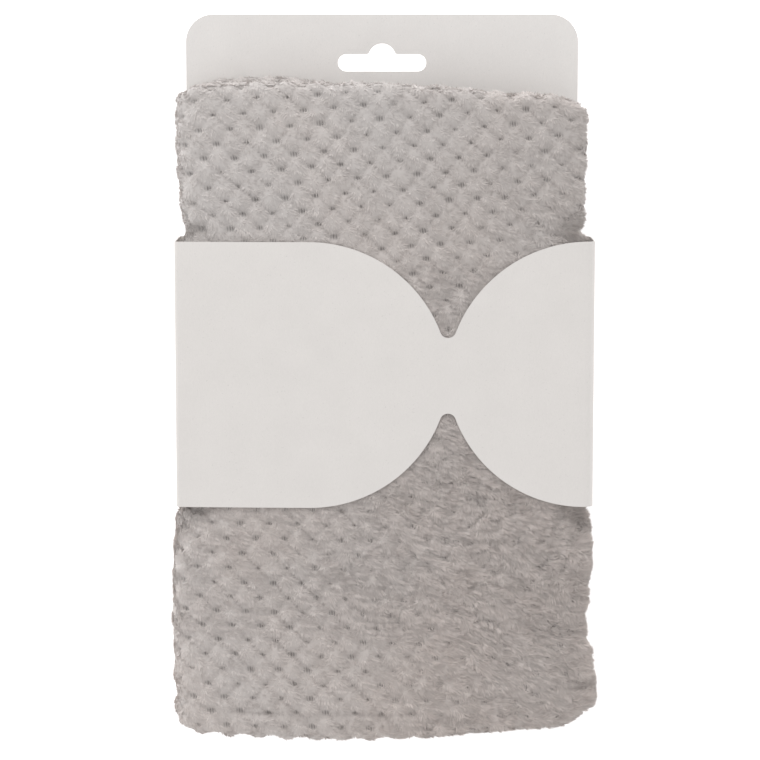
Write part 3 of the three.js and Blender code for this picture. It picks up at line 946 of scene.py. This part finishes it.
def keep_clear(tip):
    """Presses tips under the sleeve's front and between its walls, and keeps all off the floor."""
    tip_open = open_by(tip[:, 0], tip[:, 1], tip[:, 2])
    share = np.clip(np.abs(tip[:, 0] - sleeve_middle.x) / sleeve_half_width, 0, 1)
    ceiling = sleeve_inner + sleeve_crown * (1 - share * share) - 0.15 * mm
    held = (tip_open < 0.2 * mm) & (tip[:, 2] > sleeve_middle.z)
    tip[:, 2] = np.where(held, np.minimum(tip[:, 2], ceiling), tip[:, 2])
    wall = sleeve_half_width - sleeve_board - 0.1 * mm
    in_sleeve = np.abs(tip[:, 1] - sleeve_middle.y) < sleeve_half_height + 0.2 * mm
    squeezed = sleeve_middle.x + np.clip(tip[:, 0] - sleeve_middle.x, -wall, wall)
    tip[:, 0] = np.where(in_sleeve, squeezed, tip[:, 0])
    tip[:, 2] = np.maximum(tip[:, 2], tip_above_floor)
    return tip


def add_locks(name, corners, shade):
    """One mesh of spikes, each with two root corners side by side, a deeper one and a tip."""
    first = 4 * np.arange(len(corners))[:, None]
    sides = ([0, 3, 1], [1, 3, 2], [2, 3, 0], [0, 1, 2])
    # Painted shade at each lock's root corners and a little painted light at its tip
    root_shade_tip_light = np.array([0.97, 0.97, 0.97, 1.01])
    mesh = bpy.data.meshes.new(name)
    mesh.from_pydata(corners.reshape(-1, 3), [], np.concatenate([first + side for side in sides]))
    mesh.attributes.new("lock_tone_and_painted_light", "FLOAT", "POINT").data.foreach_set(
        "value", (shade[:, None] * root_shade_tip_light).astype(np.float32).ravel()
    )
    mesh.materials.append(pile_material)
    mesh.update()
    locks = bpy.data.objects.new(name, mesh)
    bpy.context.scene.collection.objects.link(locks)
    return locks


cell_area = np.linalg.norm(np.cross(
    cloth[1:, :-1] - cloth[:-1, :-1], cloth[:-1, 1:] - cloth[:-1, :-1]
), axis=2)
cell_open = middles(open_here)
cell_y = middles(cloth[:, :, 1])
cell_x = middles(cloth[:, :, 0])
cell_free = middles(free)
from_edge = np.minimum(y - cloth_bottom[:, None], cloth_top[:, None] - y)
near_edge = middles(from_edge) < edge_band
facing_back = middles(cloth_normal[:, :, 2]) < -0.7
behind_card = facing_back & (cell_x > card_low.x) & (cell_x < card_high.x) & (cell_y > card_low.y)
back_ply = middles(np.broadcast_to(station_ply[:, None], y.shape)) < 0.3
past_card = facing_back & ~behind_card & back_ply
shaggy = (cell_free > 0.9) | near_edge | past_card
shaggy &= (cell_open > -reach_under_sleeve) & ~(behind_card & ~near_edge)
sleeve_inner = sleeve_shoulder - sleeve_board
along_cloth = np.gradient(cloth, axis=0)
up_cloth = np.gradient(cloth, axis=1)
pile_material = make_pile_material()
for band, (name, low, high) in enumerate(bands):
    rng = np.random.default_rng(40 + band)
    chance = (cell_area * shaggy * (cell_y > low) * (cell_y <= high)).ravel()
    cells = rng.choice(len(chance), locks_in_band, p=chance / chance.sum())
    i, j = np.divmod(cells, rows - 1)
    s, t = rng.random((2, locks_in_band))
    at = corners_at(cloth, i, j, s, t)
    normal = unit(corners_at(cloth_normal, i, j, s, t))
    right_way = unit(along_cloth[i, j])
    up_way = unit(up_cloth[i, j])
    p, q, crushed = (corners_at(v, i, j, s, t) for v in (waffle_p, waffle_q, crush))
    fx, fy = (corners_at(v, i, j, s, t) for v in (flat_x, flat_y))
    to_hole, puff_p, puff_q = waffle_at(p, q)
    edge_on = np.clip(1 - np.abs(normal[:, 2]), 0, 1)
    clump_x = ripples(fx, fy, 2.3 * mm, seed=21) + 0.4 * ripples(fx, fy, 5.1 * mm, seed=22)
    clump_y = ripples(fx, fy, 2.2 * mm, seed=23) + 0.4 * ripples(fx, fy, 4.7 * mm, seed=24)
    splay = puff_splay * (1 - 0.7 * crushed)
    loose = 0.2 + 0.25 * crushed
    lean_x = splay * (puff_p + puff_q) + loose * clump_x + nap + crushed_nap * crushed
    lean_y = splay * (puff_q - puff_p) + loose * clump_y - nap
    lean_x += one_each(np.floor(p), np.floor(q), 35, -puff_lean, puff_lean)
    lean_y += one_each(np.floor(p), np.floor(q), 36, -puff_lean, puff_lean)
    lean_x += rng.normal(0, lock_lean, locks_in_band)
    lean_y += rng.normal(0, lock_lean, locks_in_band)
    lean = np.hypot(lean_x, lean_y)
    lean_x *= np.maximum(lean, least_lean) / lean
    lean_y *= np.maximum(lean, least_lean) / lean
    lift = 0.3 + 0.05 * crushed + edge_on * rng.uniform(-0.2, 0.4, locks_in_band)
    lift += rng.uniform(-0.1, 0.15, locks_in_band)
    way = unit(normal * lift[:, None] + right_way * lean_x[:, None] + up_way * lean_y[:, None])
    length = lock_length + (crushed_lock_length - lock_length) * crushed
    length *= rng.uniform(0.7, 1.2, locks_in_band)
    reach_x = np.sum(way * right_way, axis=1) * length / waffle["width"][1]
    reach_y = np.sum(way * up_way, axis=1) * length / waffle["row"][1] / 2
    tip_q = q + reach_x + reach_y
    tip_to_hole, _, _ = waffle_at(p + reach_x - reach_y, tip_q)
    bare = (1 - 0.5 * crushed) * rng.uniform(0.8, 1.2, locks_in_band)
    length *= np.where(np.minimum(to_hole, tip_to_hole) > bare, 1, length_over_hole)

    # Combed streaks, and partings that make locks shorter and take painted shade: the creases of
    # the crushed pile, the grooves between the puffs and the hem's groove
    combed = fy + 0.25 * fx + 2.5 * mm * ripples(fx, fy, 13 * mm, seed=32)
    streak = ripples(0.18 * fx, combed, streak_width, seed=31)
    parting = parting_at(fx, fy) * (0.15 + 0.85 * crushed)
    groove = ease(ripples(fx, fy, 5.5 * mm, seed=37), -0.05, 0.4) * (1 - crushed)
    wobble = 0.1 * ripples(fx, fy, 2.5 * mm, seed=38)
    over_groove = groove * (np.floor(tip_q + wobble) != np.floor(q + wobble))
    seam, seam_rise = (corners_at(v, i, j, s, t) for v in (hem_depth, hem_rise - hem_width))
    over_seam = seam * (seam_rise * (seam_rise + np.sum(way * up_way, axis=1) * length) < 0)
    length *= 1 - 0.55 * np.maximum(over_groove, over_seam)
    groove *= np.exp(-((0.5 - np.abs(puff_q + wobble)) / 0.045) ** 2)
    seam *= np.exp(-(seam_rise / (0.7 * mm)) ** 2)
    parting = np.maximum(np.maximum(parting, 0.8 * groove), seam)
    length *= 1 - 0.5 * parting
    root = at + normal * (streak_height * streak - root_depth)[:, None]
    tip = keep_clear(root + way * length[:, None])

    side_way = unit(np.cross(way, normal)) * lock_width / 2
    width = rng.uniform(0.7, 1.3, locks_in_band)[:, None]
    corners = np.stack([
        root - side_way * width, root + side_way * width,
        root - unit(np.cross(side_way, way)) * lock_depth, tip,
    ], 1)
    # Painted light on raised streaks and painted shade on sunk ones; the random part is the
    # fleece's own tone
    shade = 1 + (streak_painted_light + crushed_streak_painted_light * crushed) * streak
    shade += rng.normal(0, 0.03, locks_in_band)
    # Painted highlight on locks that face up or to the left, toward the light
    shade += painted_edge_light * np.maximum(
        ease(normal[:, 1], 0.1, 0.8), ease(-normal[:, 0], 0.3, 0.9)
    )
    # Painted shade in the partings, the grooves between the puffs and the hem's groove
    shade -= (parting_painted_shade + crushed_parting_painted_shade * crushed) * parting
    locks = add_locks(name, corners, shade)
    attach(locks, "root")


# Studio
# A white table and soft daylight from the upper left. The camera looks down on the pack from
# slightly above its top edge, as the photograph does.

floor_level = 0.0
look_at = Vector((-2.07 * mm, 0.05 * mm, 13 * mm))
camera_distance = 1.0
camera_tilt = math.radians(7.5)
lens = 130.3
window_place = (-0.45, 1.6, 0.7)
window_size = 0.9
window_power = 11
table_glow = 0.6
daylight_strength = 0.85

bpy.ops.object.select_all(action="DESELECT")
bpy.ops.mesh.primitive_plane_add(size=6, location=(0, 0, floor_level))
floor = bpy.context.object
floor.name = "white_table"
table_paint, _, table_shader = new_material("table_paint")
table_shader.inputs["Base Color"].default_value = (0.93, 0.93, 0.93, 1)
table_shader.inputs["Roughness"].default_value = 0.9
table_shader.inputs["Emission Color"].default_value = (1, 1, 1, 1)
table_shader.inputs["Emission Strength"].default_value = table_glow
floor.data.materials.append(table_paint)

world = bpy.data.worlds.new("daylight")
bpy.context.scene.world = world
world.use_nodes = True
world.node_tree.nodes["Background"].inputs["Color"].default_value = (1, 1, 1, 1)
world.node_tree.nodes["Background"].inputs["Strength"].default_value = daylight_strength

window_light = bpy.data.lights.new("window", "AREA")
window_light.shape = "DISK"
window_light.size = window_size
window_light.energy = window_power
window = bpy.data.objects.new("window", window_light)
window.location = window_place
window.rotation_euler = (-Vector(window_place)).to_track_quat("-Z", "Y").to_euler()
bpy.context.scene.collection.objects.link(window)

camera_data = bpy.data.cameras.new("camera")
camera_data.lens = lens
camera_data.clip_start = 0.05
camera = bpy.data.objects.new("camera", camera_data)
back_off = Vector((0, math.sin(camera_tilt), math.cos(camera_tilt))) * camera_distance
camera.location = look_at + back_off
camera.rotation_euler = (-camera_tilt, 0, 0)
bpy.context.scene.collection.objects.link(camera)
bpy.context.scene.camera = camera
bpy.context.scene.view_settings.view_transform = "Standard"
